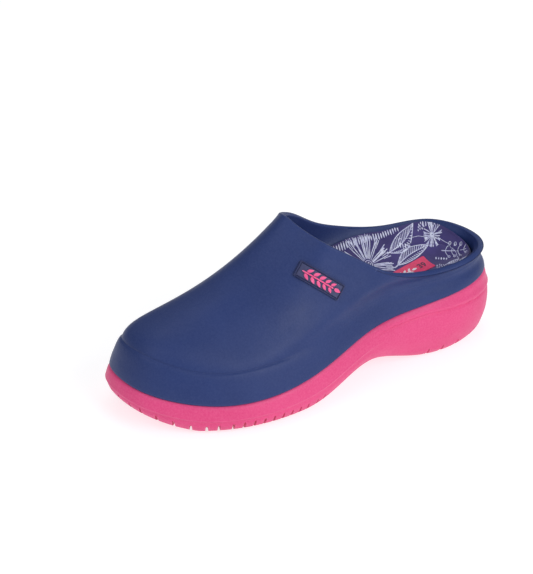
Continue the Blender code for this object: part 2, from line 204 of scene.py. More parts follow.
def hermite(keys, at):
    """A smooth curve through (position, value) keys, which doesn't overshoot."""
    x = np.array([k[0] for k in keys], float)
    y = np.array([k[1] for k in keys], float)
    slope = np.diff(y) / np.diff(x)
    tangent = np.concatenate([[slope[0]], (slope[:-1] + slope[1:]) / 2, [slope[-1]]])
    flat = np.concatenate([[False], slope[:-1] * slope[1:] <= 0, [False]])
    tangent[flat] = 0
    i = np.clip(np.searchsorted(x, at, side="right") - 1, 0, len(x) - 2)
    step = x[i + 1] - x[i]
    t = (at - x[i]) / step
    value = (2 * t**3 - 3 * t**2 + 1) * y[i] + (t**3 - 2 * t**2 + t) * step * tangent[i]
    return value + (3 * t**2 - 2 * t**3) * y[i + 1] + (t**3 - t**2) * step * tangent[i + 1]


# ---- lines plan


def knots():
    """Loop parameter of each station, the same on both sides of the shoe."""
    step = np.linalg.norm(np.roll(STATIONS[:, :2], -1, 0) - STATIONS[:, :2], axis=1)
    step = (step + step[::-1]) / 2
    return np.concatenate([[0], np.cumsum(step)]) / step.sum()


def spline_weights(params):
    """Weights of a closed cubic spline through the stations, one row per parameter."""
    knot = knots()
    gap = np.diff(knot)
    count = len(STATIONS)
    left = np.zeros((count, count))
    right = np.zeros((count, count))
    for i in range(count):
        before, after = gap[i - 1], gap[i]
        left[i, i - 1] += before / 6
        left[i, i] += (before + after) / 3
        left[i, (i + 1) % count] += after / 6
        right[i, (i + 1) % count] += 1 / after
        right[i, i] -= 1 / after + 1 / before
        right[i, i - 1] += 1 / before
    bend = np.linalg.solve(left, right)
    weights = np.zeros((len(params), count))
    for row, value in enumerate(params):
        i = min(int(np.searchsorted(knot, value, side="right")) - 1, count - 1)
        j = (i + 1) % count
        a = (knot[i + 1] - value) / gap[i]
        b = 1 - a
        weights[row, i] += a
        weights[row, j] += b
        curve = (a**3 - a) * bend[i] + (b**3 - b) * bend[j]
        weights[row] += curve * gap[i] ** 2 / 6
    return weights


class Lines:
    """Every rail of the shoe, sampled at the same points round the loop."""

    def __init__(self, count):
        self.count = count
        self.u = np.arange(count) / count
        self.side = np.minimum(self.u, 1 - self.u)
        rail = spline_weights(self.u) @ STATIONS
        shift = np.array(SHIFT)
        self.outline = rail[:, 0:2] + shift
        self.feather = rail[:, 2]
        self.tread = np.maximum(rail[:, 3] - 0.4, 0)
        self.crease = self.feather + rail[:, 4]
        self.top = np.c_[rail[:, 5:7] + shift, rail[:, 7]]
        self.insole_edge = self.feather + rail[:, 8]
        along = unit(np.roll(self.outline, -1, 0) - np.roll(self.outline, 1, 0))
        self.out = np.c_[along[:, 1], -along[:, 0]]
        self.toe = (1 + np.cos(2 * np.pi * self.u)) / 2
        self.tuck = 4.3 + 3.9 * self.toe  # inset of the bumper crease
        half = count // 2
        self.pair = pair = (count - np.arange(half + 1)) % count
        middle = (self.outline[: half + 1] + self.outline[pair]) / 2
        height = (self.feather[: half + 1] + self.feather[pair]) / 2
        self.spine = self.middle_line(np.c_[middle, height])

    def middle_line(self, middle):
        """Points of the middle line without its ends, crowded where the sides fan round it."""
        half = self.count // 2
        index = np.arange(half + 1)
        at = half * (0.5 - 0.355 * np.cos(np.pi * index / half))
        return sampled(middle, index, at)

    def ring(self, inset, height):
        """A loop at a distance inside the outline."""
        inset = np.broadcast_to(inset, self.count)
        return np.c_[self.outline - inset[:, None] * self.out, np.broadcast_to(height, self.count)]

    def fold(self, spine):
        """The spine as a loop that runs out along one side and back along the other."""
        i = np.arange(self.count)
        return spine[np.minimum(i, self.count - i)]

    def spine_at(self, rise):
        return self.spine + np.array([0, 0, 1]) * np.reshape(rise, (-1, 1))

    def between(self, ring, spine, share):
        return ring * (1 - share) + self.fold(spine) * share


def vamp_rings(line, shares):
    """Rings of the upper's outside, from the bumper crease (0) to the topline (1)."""
    side = bell(line.u, 0.13, 0.07)
    rise = 5 + 12.5 * line.toe - 4 * side
    lean = 0.12 + 0.06 * side - 0.06 * line.toe**6
    reach = 0.36 + 0.18 * line.toe**2
    drop = 0.34 + 0.57 * line.toe**1.5
    start = line.ring(line.tuck, line.crease)
    across = (line.top - start)[:, :2]
    first = start.copy()
    first[:, :2] += lean[:, None] * across
    first[:, 2] += rise
    second = line.top.copy()
    second[:, :2] -= reach[:, None] * across
    second[:, 2] -= drop * (line.top - start)[:, 2]
    return [(1 - s)**3 * start + 3 * (1 - s)**2 * s * first + 3 * (1 - s) * s**2 * second
            + s**3 * line.top for s in shares]


def outward(rings):
    """Unit normals of a band of rings, pointing away from the foot."""
    grid = np.array(rings)
    up = np.gradient(grid, axis=0)
    around = np.roll(grid, -1, 1) - np.roll(grid, 1, 1)
    return unit(np.cross(around, up))


def bed(line, rise, inset, edge_rise, shares):
    """Rings of a surface under the foot, from its spine to its edge."""
    spine = line.spine_at(rise)
    edge = line.ring(inset, line.feather + edge_rise)
    return [line.between(edge, spine, share) for share in shares]


# ---- upper


def from_topline(outer):
    """Distance along the skin from the topline, in mm, for each ring and point."""
    grid = np.array(outer)
    step = np.linalg.norm(np.diff(grid, axis=0), axis=2)
    return np.concatenate([np.cumsum(step[::-1], axis=0)[::-1], np.zeros((1, grid.shape[1]))])


def upper_relief(line, depth):
    """How far the skin stands out of the plain shape: a rim lip and the lines moulded under it."""
    throat = ramp(line.side, 0, 0.05)
    back = ramp(line.side, 0.30, 0.44)
    sides = ramp(line.side, 0.03, 0.08) * (1 - ramp(line.side, 0.24, 0.33))
    relief = 0.32 * bell(depth, 0, 2.6) * (0.4 + 0.6 * throat)
    relief -= 0.45 * bell(depth, 8, 1.1) * sides
    relief += 0.22 * bell(depth, 10.2, 1.4) * sides
    relief -= 0.35 * bell(depth, 13, 1) * sides
    relief -= 0.75 * bell(depth, 9, 4.2) * back
    relief += 0.30 * bell(depth, 1.5, 2.4) * back
    return relief


def softened(line, grid):
    """Rings whose sections are rounded off beyond the forefoot, where the bumper crease dies away."""
    made = grid.copy()
    wide = 6.5 * ramp(line.side, 0.16, 0.25)
    for i in range(line.count):
        if wide[i] < 0.2:
            continue
        points = grid[:, i]
        run = run_of(points)
        at = np.arange(0, run[-1], 0.5)
        dense = sampled(points, run, at)
        for k in range(1, len(points) - 1):
            reach = min(wide[i], 0.4 * run[k], 0.4 * (run[-1] - run[k]))
            if reach > 0.3:
                share = np.exp(-0.5 * ((at - run[k]) / reach) ** 2)
                made[k, i] = share @ dense / share.sum()
    return made


def make_upper(line, finish):
    """Moulded shell: floor, bumper band with its crease, vamp, rolled collar and lining."""
    plain = vamp_rings(line, np.linspace(0, 1, 61))
    normal = outward(plain)
    relief = upper_relief(line, from_topline(plain))
    outer = [ring + lift[:, None] * face for ring, lift, face in zip(plain, relief, normal)]
    inner = [ring - WALL * face for ring, face in zip(plain, normal)]
    up = unit(plain[-1] - plain[-2])

    rise = line.crease - line.feather
    step = 0.75 * (1 - ramp(line.side, 0.23, 0.34))
    band = [line.ring(LEDGE + 0.2, line.feather + GAP / 2), line.ring(0.9, line.feather + GAP / 2)]
    band.append(line.ring(0.25, line.feather + 0.35))
    levels = np.concatenate([np.linspace(0, 0.8, 15), [0.85, 0.89, 0.92, 0.945, 0.965, 0.98, 0.992]])
    for s in levels:
        inset = line.tuck * (0.85 * s + 0.15 * s * s) - 0.8 * sin(pi * s)
        proud = step * float(ramp(s, 0.45, 0.9)) * (1 - float(ramp(s, 0.93, 1)) * 1.25)
        band.append(line.ring(inset - proud, line.feather + 1 + (rise - 1) * s))

    band_count = len(band)
    skin = softened(line, np.array(band[3:] + outer))
    band = band[:3] + list(skin[:band_count - 3])
    outer = list(skin[band_count - 3:])

    collar = []
    middle = (outer[-1] + inner[-1]) / 2
    across = (outer[-1] - inner[-1]) / 2
    for turn in np.linspace(0, pi, 13)[1:-1]:
        lift = COLLAR_ROLL * sin(turn) ** 0.8 - COLLAR_ROLL
        collar.append(middle + cos(turn) * across + lift * up)
    outer[-1] = outer[-1] - COLLAR_ROLL * up
    inner[-1] = inner[-1] - COLLAR_ROLL * up
    lining = inner[::-1]
    seat = [line.ring(inset, line.feather + lift) for inset, lift in (WALL_FOOT, (7.6, 1.3), (9.2, 0.5))]
    floor = bed(line, 0, 11, 0.2, (0, 0.2, 0.5, 0.8, 1))
    underside = bed(line, -FLOOR, LEDGE + 0.2, -FLOOR, (1, 0.75, 0.4, 0))
    rings = underside + band + outer + collar + lining[::2] + seat + floor
    return loft("clog_upper", rings, [finish])


# ---- outsole


def side_profile(line, s):
    """How far the outsole's side lies inside the outline, at a share s of the way down."""
    front = [(0, 0.5), (0.04, -0.35), (0.2, -1.7), (0.38, -2.6), (0.43, -2.85), (0.47, -2.1),
             (0.51, -1.75), (0.64, -1.45), (0.8, 0.1), (0.92, 2.2), (1, TREAD_INSET)]
    back = [(0, 0.5), (0.03, -0.3), (0.1, -1), (0.3, -2.2), (0.42, -2.5), (0.64, -1.75),
            (0.8, 0.1), (0.92, 2.1), (1, TREAD_INSET)]
    share = ramp(line.side, 0.26, 0.33)
    return hermite(front, s) * (1 - share) + hermite(back, s) * share


def heel_crease(line, depth):
    """A step round the heel block, under the strip that runs along the feather line."""
    low = np.interp(line.side, [0.29, 0.376, 0.41, 0.449, 0.5], [4.5, 5.4, 8.2, 10.6, 11.5])
    fade = ramp(line.side, 0.28, 0.33)
    above = 0.75 * bell(depth, low - 2.2, 2)
    below = 0.75 * bell(depth, low + 0.5, 0.8)
    return fade * (below - above)


def channel(body, path, width, depth=CUT):
    """A rounded channel cutter swept along a path, reaching depth into the tread."""
    half = width / 2
    side = [(1.25, -CUTTER_REACH), (1.1, 0), (0.85, depth * 0.7), (0.45, depth * 0.97)]
    profile = [(-half * a, b) for a, b in side] + [(half * a, b) for a, b in side[::-1]]
    rows = []
    for i, spot in enumerate(path):
        along = Vector(path[min(i + 1, len(path) - 1)]) - Vector(path[max(i - 1, 0)])
        across = along.cross(UP).normalized()
        rise = across.cross(along).normalized()
        rows.append([body.verts.new((Vector(spot) + across * a + rise * b) * MM) for a, b in profile])
    corners = [corner for row in rows for corner in row]
    for face in quads(len(rows) - 1, len(profile)):
        body.faces.new([corners[k] for k in face])
    body.faces.new(rows[0][::-1])
    body.faces.new(rows[-1])


def wave_path(start, end, sway):
    """Points between two places on the tread, swaying sideways once along the way."""
    start, end = np.array(start, float), np.array(end, float)
    side = np.array([-(end - start)[1], (end - start)[0], 0]) / np.linalg.norm(end - start)
    path = []
    for t in np.linspace(0, 1, 25):
        path.append(tuple(start + (end - start) * t + side * sway * sin(2 * pi * t)))
    return path


def edge_notch(line, i, start):
    """Path of a channel that runs out over the rounded edge of the tread at one point of the loop."""
    path = []
    low = line.tread[i]
    for inset, rise in ((start, -1), (7, -0.3), (4.6, 0.5), (2, 2.2), (-1.5, 5), (-6, 9)):
        x, y = line.outline[i] - inset * line.out[i]
        path.append((x, y, max(low + rise, 0)))
    return path


def cut_tread(made, line):
    """Cuts the tread's channels: a fan round the toe, wavy bars, and a notch at each end."""
    body = bmesh.new()
    half = line.count // 2
    for step in range(-9, 10):
        start = 15 if step % 2 == 0 else 9
        place = round(step * line.count / 80) % line.count
        channel(body, edge_notch(line, place, start), NOTCH, 2)
    bars = [(-77 + 13 * step, -71 + 13 * step, 58, 2.2, 6.5) for step in range(5)]
    bars += [(74 + 12 * step, 74 + 12 * step, 42, 1.6, 0) for step in range(5)]
    for inner, outer, reach, sway, more in bars:
        channel(body, wave_path((-reach, inner, 0), (reach, outer, 0), sway), BAR)
        for end, first in ((outer, 0), (inner, half)):
            for y, start in ((end, 11), (end + more, 8)):
                near = np.argmin(np.abs(line.outline[first:first + half, 1] - y))
                if y == end or more > 0:
                    channel(body, edge_notch(line, first + int(near), start), NOTCH)
    for step in (-1, 0, 1):
        channel(body, edge_notch(line, half + round(step * 0.024 * line.count), 9), NOTCH)
    mesh = bpy.data.meshes.new("tread channels")
    bmesh.ops.recalc_face_normals(body, faces=body.faces)
    body.to_mesh(mesh)
    body.free()
    cutter = linked("tread channels", mesh)
    cut = made.modifiers.new("tread", "BOOLEAN")
    cut.operation = "DIFFERENCE"
    cut.solver = "EXACT"
    cut.use_self = True
    cut.object = cutter
    mesh = evaluated(made)
    made.modifiers.clear()
    made.data = mesh
    bpy.data.objects.remove(cutter)
    made.data.shade_smooth()
    made.data.set_sharp_from_angle(angle=radians(38))


def make_outsole(line, finish):
    """Outsole: a ridged, bulging wall round the upper's seat, and the grooved tread."""
    rise = line.feather - line.tread
    seat = bed(line, -FLOOR - GAP, LEDGE - 0.1, -FLOOR - GAP, (1, 0.6, 0.25, 0))
    wall = [line.ring(LEDGE - 0.1, line.feather - GAP / 2), line.ring(0.9, line.feather - GAP / 2)]
    levels = np.concatenate([np.linspace(0, 0.34, 18), np.linspace(0.36, 0.54, 10),
                             np.linspace(0.57, 1, 16)])
    for s in levels:
        inset = side_profile(line, s) + heel_crease(line, s * rise)
        wall.append(line.ring(inset, line.feather - 0.35 - (rise - 0.35) * s))
    flat = np.maximum(line.tread - 1.2, 0)
    half = line.count // 2
    middle = (flat[: half + 1] + flat[line.pair]) / 2
    spine = line.spine.copy()
    spine[:, 2] = line.middle_line(middle[:, None])[:, 0]
    inner = line.ring(2.2 * TREAD_INSET, flat)
    edge = line.ring(TREAD_INSET, line.tread)
    tread = [edge * 0.5 + inner * 0.5, inner]
    tread += [line.between(inner, spine, share) for share in (0.25, 0.5, 0.75, 1)]
    made = loft("clog_outsole", seat + wall + tread, [finish])
    cut_tread(made, line)
    return made


# ---- insole


def wall_tree(line):
    """The upper's inner wall from its foot to the topline, to measure clearance against."""
    plain = vamp_rings(line, np.linspace(0, 1, 13))
    normal = outward(plain)
    rings = [line.ring(WALL_FOOT[0], line.feather + WALL_FOOT[1])]
    rings += [ring - WALL * face for ring, face in zip(plain, normal)]
    faces = quads(len(rings) - 1, line.count)
    return np.array(rings), BVHTree.FromPolygons(np.concatenate(rings).tolist(), faces)


def clearance(tree, point, out):
    """Distance from the inner wall, negative beyond it; out points towards the wall."""
    near, face, _, distance = tree.find_nearest(point)
    side = face.x * out[0] + face.y * out[1]
    return distance if (near - point).dot(face) * side >= 0 else -distance


def beside_wall(line, wall, height, inward):
    """A loop at a height, inside the upper's inner wall there and wherever it lifts past."""
    rings, tree = wall
    found = line.ring(0, height)
    turns = [radians(LIFT_ANGLE) * share for share in (0, 0.2, 0.4, 0.6, 0.8, 1)]
    for i in range(line.count):
        out = line.out[i]
        for axis in (0, 1):
            found[i, axis] = np.interp(height[i], rings[:, i, 2], rings[:, i, axis])
        found[i, :2] -= inward * out
        above = height[i] - LIFT_AXIS[2]
        for _ in range(3):
            short = 0
            ahead = found[i, 1] - LIFT_AXIS[1]
            for turn in turns:
                y = LIFT_AXIS[1] + ahead * cos(turn) - above * sin(turn)
                z = LIFT_AXIS[2] + ahead * sin(turn) + above * cos(turn)
                short = max(short, inward - clearance(tree, Vector((found[i, 0], y, z)), out))
            if short < 0.01:
                break
            found[i, :2] -= short * out
    return found


def footbed(line, start, shares):
    """Rings of the footbed's upper face, from the top of its side wall to its spine."""
    half = line.count // 2
    thick = INSOLE_HEEL + (INSOLE_TOE - INSOLE_HEEL) * line.toe
    control = line.ring(15 + 5 * bell(line.u, 0.67, 0.08), line.feather + thick)
    spine = line.spine_at(np.linspace(INSOLE_TOE, INSOLE_HEEL, half + 1))
    end = line.fold(spine)
    fade = ramp(line.side, 0.33, 0.42)
    rings = []
    for s in shares:
        ring = (1 - s) ** 2 * start + 2 * s * (1 - s) * control + s * s * end
        ring[:, 2] -= CUP_GROOVE * fade * exp(-(((s - 0.36) / 0.022) ** 2))
        rings.append(ring)
    return rings


def lowered(line, rings, depth):
    """Rings moved straight down, a little further where the face they lie on is steep."""
    grid = np.array(rings)
    along = np.roll(grid, -1, 1) - np.roll(grid, 1, 1)
    face = np.cross(along, np.gradient(grid, axis=0))
    face = face / np.maximum(np.linalg.norm(face, axis=2, keepdims=True), 1e-9)
    face[-1] = (0, 0, 1)
    drop = depth / np.maximum(np.abs(face[:, :, 2]), STEEP)
    return [ring - np.c_[np.zeros((line.count, 2)), fall] for ring, fall in zip(rings, drop)]


def make_insole(line, foam_finish, cover_finish):
    """Foam footbed with raised sides, and the fabric that covers its top and rolls over its edge."""
    wall = wall_tree(line)
    start = beside_wall(line, wall, line.insole_edge, SIDE_CLEARANCE + EDGE_ROLL)
    shares = np.concatenate([np.linspace(0, 0.3, 13), np.linspace(0.32, 0.40, 9),
                             np.linspace(0.44, 1, 12)])
    top = footbed(line, start, shares)
    side = beside_wall(line, wall, line.insole_edge - 1.2, SIDE_CLEARANCE)
    lip = []
    for turn in np.linspace(0, pi / 2, 7)[:-1]:
        across = 1 - sin(turn)
        ring = start * (1 - across) + side * across
        ring[:, 2] = line.insole_edge - EDGE_LIP + EDGE_LIP * sin(turn) + 0.2 * sin(2 * turn)
        lip.append(ring)
    skirt = beside_wall(line, wall, line.insole_edge - 2.6, SIDE_CLEARANCE + 0.05)
    outside = [skirt] + lip + top
    inside = []
    for fall, ring in zip((0, 0, 0.25, 0.45, 0.6, 0.75, 0.9), [skirt] + lip):
        inside.append(ring - np.c_[0.7 * line.out, np.full(line.count, fall)])
    inside += lowered(line, top, COVER)
    cover = loft("insole_top_cover", inside[::-1] + outside, [cover_finish])

    foam_top = lowered(line, top, COVER + GAP + 0.1)
    low = line.feather + 3.2
    foam_wall = []
    for share in np.linspace(0, 1, 13):
        height = low + share * (line.insole_edge - 2 - low)
        tucked = 0.95 * float(ramp(share, 0.78, 0.86))
        inward = SIDE_CLEARANCE + 0.6 * (1 - share) ** 2 + tucked
        foam_wall.append(beside_wall(line, wall, height, inward))
    foot = bed(line, 0.5, 11, 0.7, (1, 0.75, 0.5, 0.25, 0))
    foam = loft("insole_footbed", foot + foam_wall + foam_top[2:], [foam_finish])
    return foam, cover


# ---- pieces laid on a surface


def tree_of(made):
    body = bmesh.new()
    body.from_mesh(made.data)
    tree = BVHTree.FromBMesh(body)
    body.free()
    return tree


def patch_frame(tree, centre, towards, along):
    """Where a line meets a surface, with the normal there and two directions on the surface."""
    start = (Vector(centre) - Vector(towards) * 30) * MM
    spot, normal, _, _ = tree.ray_cast(start, Vector(towards))
    side = (along - normal * along.dot(normal)).normalized()
    return spot, normal, side, normal.cross(side)


def drop_on(tree, place, a, b, height):
    """A point some mm above the surface, under a place given along the patch's own axes."""
    spot, normal, side, rise = place
    start = spot + side * (a * MM) + rise * (b * MM) + normal * (12 * MM)
    hit, face, _, _ = tree.ray_cast(start, -normal, 30 * MM)
    return (hit + normal * (height * MM / max(0.6, abs(face.dot(normal))))) / MM


def rounded(width, height, radius, count):
    """A rounded rectangle's outline, mirror-symmetric about its long axis, from its right end."""
    wide, tall = width / 2, height / 2
    radius = max(min(radius, wide, tall), 0)
    core = (max(wide - radius, 0), max(tall - radius, 0))
    dense = []
    for turn in np.linspace(0, 2 * pi, 721)[:-1]:
        a, b = cos(turn), sin(turn)
        scale = max(abs(a) / max(wide, 1e-6), abs(b) / max(tall, 1e-6))
        x, y = a / scale, b / scale
        if abs(x) > core[0] and abs(y) > core[1] and radius > 0:
            dx, dy = abs(x) - core[0], abs(y) - core[1]
            length = hypot(dx, dy)
            x = copysign(core[0] + dx / length * radius, x)
            y = copysign(core[1] + dy / length * radius, y)
        dense.append((x, y))
    dense.append(dense[0])
    run = run_of(dense)
    return sampled(dense, run, np.arange(count) / count * run[-1])


def plate(name, tree, place, size, radius, profile, finishes, slot_of, count):
    """A rounded plate on a surface, its edge section given as (distance in, height) pairs."""
    reach = min(size) / 2
    loops = []
    first = profile[0][1]
    flat = profile[-1][1]
    edge = profile[-1][0]
    core = [(reach * (k / PLATE_FILL), first) for k in range(PLATE_FILL, 0, -1)]
    rest = [(edge + (reach - edge) * k / PLATE_FILL, flat) for k in range(1, PLATE_FILL + 1)]
    for inset, height in core + list(profile) + rest:
        shape = rounded(size[0] - 2 * inset, size[1] - 2 * inset, radius - inset, count)
        loops.append([drop_on(tree, place, a, b, height) for a, b in shape])
    return loft(name, [np.array(loop) for loop in loops], finishes, slot_of)


def leaf_outline(length, width, lean, half=10):
    """A pointed leaf from its root at the origin along +x, curving by lean."""
    upper, lower = [], []
    for k in range(half + 1):
        t = k / half
        wide = width / 2 * sin(pi * t**0.8) ** 0.85 if 0 < t < 1 else 0
        curve = lean * t * t
        upper.append((length * t, curve + wide))
        lower.append((length * t, curve - wide))
    return upper + lower[-2:0:-1]


def blade(tree, place, outline, root, turn, low, high):
    """Points and faces of one domed leaf or bar laid on a surface."""
    turned = []
    for x, y in outline:
        turned.append((root[0] + x * cos(turn) - y * sin(turn),
                       root[1] + x * sin(turn) + y * cos(turn)))
    centre = np.mean(turned, axis=0)
    points = []
    count = len(turned)
    for scale, height in ((1, low), (1, high - 0.16), (0.9, high), (0.45, high + 0.05)):
        for spot in turned:
            a, b = centre + (np.array(spot) - centre) * scale
            points.append(drop_on(tree, place, a, b, height))
    faces = quads(3, count)
    points.append(drop_on(tree, place, centre[0], centre[1], low))
    points.append(drop_on(tree, place, centre[0], centre[1], high + 0.05))
    for i in range(count):
        j = (i + 1) % count
        faces.append([j, i, 4 * count])
        faces.append([3 * count + i, 3 * count + j, 4 * count + 1])
    return points, faces


def sprig(name, tree, place, length, low, high, finish, shift=0):
    """A leafy twig: a stem, paired leaves and one leaf at its tip."""
    unit_size = length / 28
    points, faces = [], []

    def put(outline, root, angle):
        spot = (shift + root[0], root[1])
        more, rims = blade(tree, place, outline, spot, angle, low, high)
        start = len(points)
        points.extend(more)
        faces.extend([[start + k for k in rim] for rim in rims])

    stem = rounded(24 * unit_size, 0.95 * unit_size, 0.45 * unit_size, 48)
    put([tuple(p) for p in stem], (-2 * unit_size, 0), 0)
    for step in range(5):
        x = (-11.6 + 4.6 * step) * unit_size
        size = (5 - 0.35 * abs(step - 1.5)) * unit_size
        for sign in (1, -1):
            leaf = leaf_outline(size, 0.46 * size, -sign * 0.12 * size)
            root = (x + 0.35 * unit_size * (sign + 1), sign * 0.75 * unit_size)
            put(leaf, root, sign * radians(48))
    put(leaf_outline(5 * unit_size, 2.5 * unit_size, 0), (10.6 * unit_size, 0), 0)
    return add_mesh(name, points, faces, [finish], sharp=50)


def make_badge(upper, rim_groove_shade_finish, panel_finish, mark_finish):
    """Rubber badge: a raised rim, a recessed groove, a panel, and a twig in relief; rim and groove are
    near-black, painted shade of the groove.
    """
    tree = tree_of(upper)
    place = patch_frame(tree, BADGE_CENTRE, (-0.87, 0.2, -0.45), Vector(BADGE_ALONG))
    profile = [(0, 0.15), (0, 1.15), (0.1, 1.45), (0.3, 1.6), (0.55, 1.6), (0.75, 1.5),
               (0.85, 1.2), (0.95, 1.05), (1.25, 1.05), (1.35, 1.2), (1.45, 1.35), (1.65, 1.42)]
    # The outer bands, rim and groove, take the near-black finish: painted shade of the groove.
    rim_bands = PLATE_FILL + 9
    badge = plate("badge", tree, place, BADGE_SIZE, 1, profile, [rim_groove_shade_finish, panel_finish],
                  lambda band: 0 if band < rim_bands else 1, 240)
    mark = sprig("badge_mark", tree_of(badge), place, 27, 0.1, 0.85, mark_finish)
    return badge, mark


def make_label(cover, film_finish, ink_finish, white_finish):
    """Film patch on the heel of the cover, with the size number and a twig printed on it."""
    tree = tree_of(cover)
    centre = (LABEL_CENTRE[0] + SHIFT[0], LABEL_CENTRE[1] + SHIFT[1], 60)
    along = Vector((-sin(LABEL_TURN), cos(LABEL_TURN), 0))
    place = patch_frame(tree, centre, (0, 0, -1), along)
    size = (LABEL_SIZE[1], LABEL_SIZE[0])
    profile = [(0, 0.1), (0, 0.42), (0.08, 0.52), (0.25, 0.55)]
    label = plate("insole_tag", tree, place, size, 0.8, profile, [film_finish], None, 200)
    top = tree_of(label)
    twig = sprig("insole_tag_twig", top, place, 22, 0.02, 0.2, white_finish, shift=-5)

    text = bpy.data.curves.new("size number", "FONT")
    text.body = "39"
    text.size = 6.2
    text.align_x = "CENTER"
    text.align_y = "CENTER"
    text.extrude = 0.05
    text.offset = 0.06
    holder = linked("size number", text)
    bpy.context.view_layer.update()
    mesh = evaluated(holder)
    points = [drop_on(top, place, v.co.x + 11.6, v.co.y, v.co.z + 0.07) for v in mesh.vertices]
    faces = [list(face.vertices) for face in mesh.polygons]
    number = add_mesh("insole_tag_number", points, faces, [ink_finish], sharp=30)
    bpy.data.objects.remove(holder)
    return label, twig, number


# ---- printed flowers on the cover


def around(centre, radius, turn):
    return centre[0] + radius * cos(turn), centre[1] + radius * sin(turn)


def axes(root, tip):
    """Root, way to the tip and unit side of a leaf or fern."""
    root, along = np.array(root, float), np.subtract(tip, root)
    return root, along, np.array([-along[1], along[0]]) / np.linalg.norm(along)


class Print:
    """Ink strokes in the plan of the insole, laid on the cover as thin raised strips."""

    def __init__(self, tree):
        self.tree = tree
        self.draw = np.random.default_rng(39)
        self.points = []
        self.faces = []

    def height(self, x, y):
        hit, _, _, _ = self.tree.ray_cast(Vector((x * MM, y * MM, 0.2)), -UP)
        return None if hit is None else hit.z / MM

    def stroke(self, path, widths, longest=INK_STEP):
        """A strip along a path, in short steps so that it follows the surface."""
        run = run_of(path)
        if run[-1] < SHORTEST_STROKE:
            return
        at = np.linspace(0, run[-1], int(run[-1] / min(run[-1] / 3, longest)) + 2)
        spots = sampled(path, run, at)
        wide = np.interp(at, np.linspace(0, run[-1], len(widths)), widths)
        along = unit(np.gradient(spots, axis=0))
        side = np.c_[-along[:, 1], along[:, 0]]
        rows = []
        low, high = INK_LEVELS
        for spot, across, width in zip(spots, side, wide):
            ends = [self.height(*(spot + across * off)) for off in (-0.4, 0.4)]
            if None in ends:
                break
            width /= hypot(1, (ends[1] - ends[0]) / 0.8)
            row = []
            for sign, lift in ((1, low), (-1, low), (-1, high), (1, high)):
                x, y = spot + sign * across * width / 2
                level = self.height(x, y)
                if level is not None:
                    row.append((x, y, level + lift))
            if len(row) < 4:
                break
            rows.append(row)
        if len(rows) < 2:
            return
        start = len(self.points)
        for row in rows:
            self.points.extend(row)
        self.faces.extend([start + k for k in face] for face in quads(len(rows) - 1, 4))
        self.faces.append([start + 3, start + 2, start + 1, start])
        last = start + 4 * (len(rows) - 1)
        self.faces.append([last, last + 1, last + 2, last + 3])

    def circle(self, centre, radius, width):
        path = [around(centre, radius, turn) for turn in np.linspace(0, 2 * pi, 13)]
        self.stroke(path, [width], min(radius / 2, INK_STEP))

    def dot(self, centre, radius):
        self.stroke([(centre[0] - radius, centre[1]), (centre[0] + radius, centre[1])],
                    [0.6 * radius, 2 * radius, 0.6 * radius])

    def rosette(self, centre, small, large, count):
        """Rays round a middle, some split in two, with a beaded heart."""
        for k in range(count):
            turn = 2 * pi * k / count + 0.06 * self.draw.standard_normal()
            reach = large * (0.82 + 0.18 * self.draw.random())
            bend = 0.10 * self.draw.standard_normal()
            path = []
            for t in np.linspace(0, 1, 6):
                radius = small + (reach - small) * t
                path.append(around(centre, radius, turn + bend * t))
            self.stroke(path, [0.35, 0.65, 0.45])
            if k % 2 == 0:
                for spread in (-0.07, 0.07):
                    inner, outer = reach * 0.72, reach * (1.02 + 0.08 * self.draw.random())
                    self.stroke([around(centre, radius, turn + bend + spread)
                                 for radius in (inner, outer)], [0.3, 0.6])
        self.circle(centre, small * 0.8, 0.5)
        for k in range(7):
            self.dot(around(centre, small * 0.42, 2 * pi * k / 7), 0.4)

    def leaf(self, root, tip, width, bow, ribs):
        """A pointed leaf: outline, midrib, ribs on one half and short hatches on the other."""
        root, along, side = axes(root, tip)

        def spot(t, across):
            wide = width / 2 * sin(pi * min(max(t, 0), 1) ** 0.9)
            return root + along * t + side * (bow * sin(pi * t) + across * wide)

        for across in (-1, 1):
            self.stroke([spot(t, across) for t in np.linspace(0, 1, 14)], [0.5, 0.7, 0.45])
        self.stroke([spot(t, 0) for t in np.linspace(-0.08, 0.97, 12)], [0.8, 0.6, 0.3])
        for k in range(1, ribs):
            t = k / ribs
            self.stroke([spot(t, 0), spot(min(t + 0.09, 0.99), 0.88)], [0.45, 0.35])
            self.stroke([spot(t, -0.45), spot(min(t + 0.05, 0.99), -0.95)], [0.55, 0.4])

    def fern(self, root, tip, size, count):
        """A stem with short curved fronds, each ending in a bead."""
        root, along, side = axes(root, tip)
        ahead = along / np.linalg.norm(along)
        self.stroke([root + along * t for t in np.linspace(0, 1, 6)], [0.6, 0.35])
        for k in range(count):
            t = (k + 0.6) / count
            reach = size * (1 - 0.5 * t)
            for sign in (1, -1):
                end = root + along * t + sign * side * reach + ahead * reach * 0.7
                middle = root + along * t + sign * side * reach * 0.5 + ahead * reach * 0.2
                self.stroke([root + along * t, middle, end], [0.35, 0.35])
                self.circle(end, 0.75, 0.35)

    def dashes(self, path, length, gap):
        """Short strokes set across a path."""
        run = run_of(path)
        for place in np.arange(0, run[-1], gap):
            spot = sampled(path, run, place)
            ahead = sampled(path, run, place + 1) - spot
            if np.linalg.norm(ahead) < 0.1:
                continue
            ahead = ahead / np.linalg.norm(ahead)
            side = np.array([-ahead[1], ahead[0]])
            reach = length * (0.7 + 0.5 * self.draw.random())
            self.stroke([spot - side * reach / 2, spot + side * reach / 2], [0.5, 0.95, 0.5])

    def scales(self, centre, size, rows):
        """A patch of dots in rows, like a seed head."""
        for row in range(rows):
            count = 2 + row
            for k in range(count):
                x = centre[0] + size * (row - rows / 2) * 0.9
                y = centre[1] + size * (k - (count - 1) / 2) * 1.1
                x += 0.2 * self.draw.standard_normal()
                self.dot((x, y + 0.2 * self.draw.standard_normal()), 0.42)

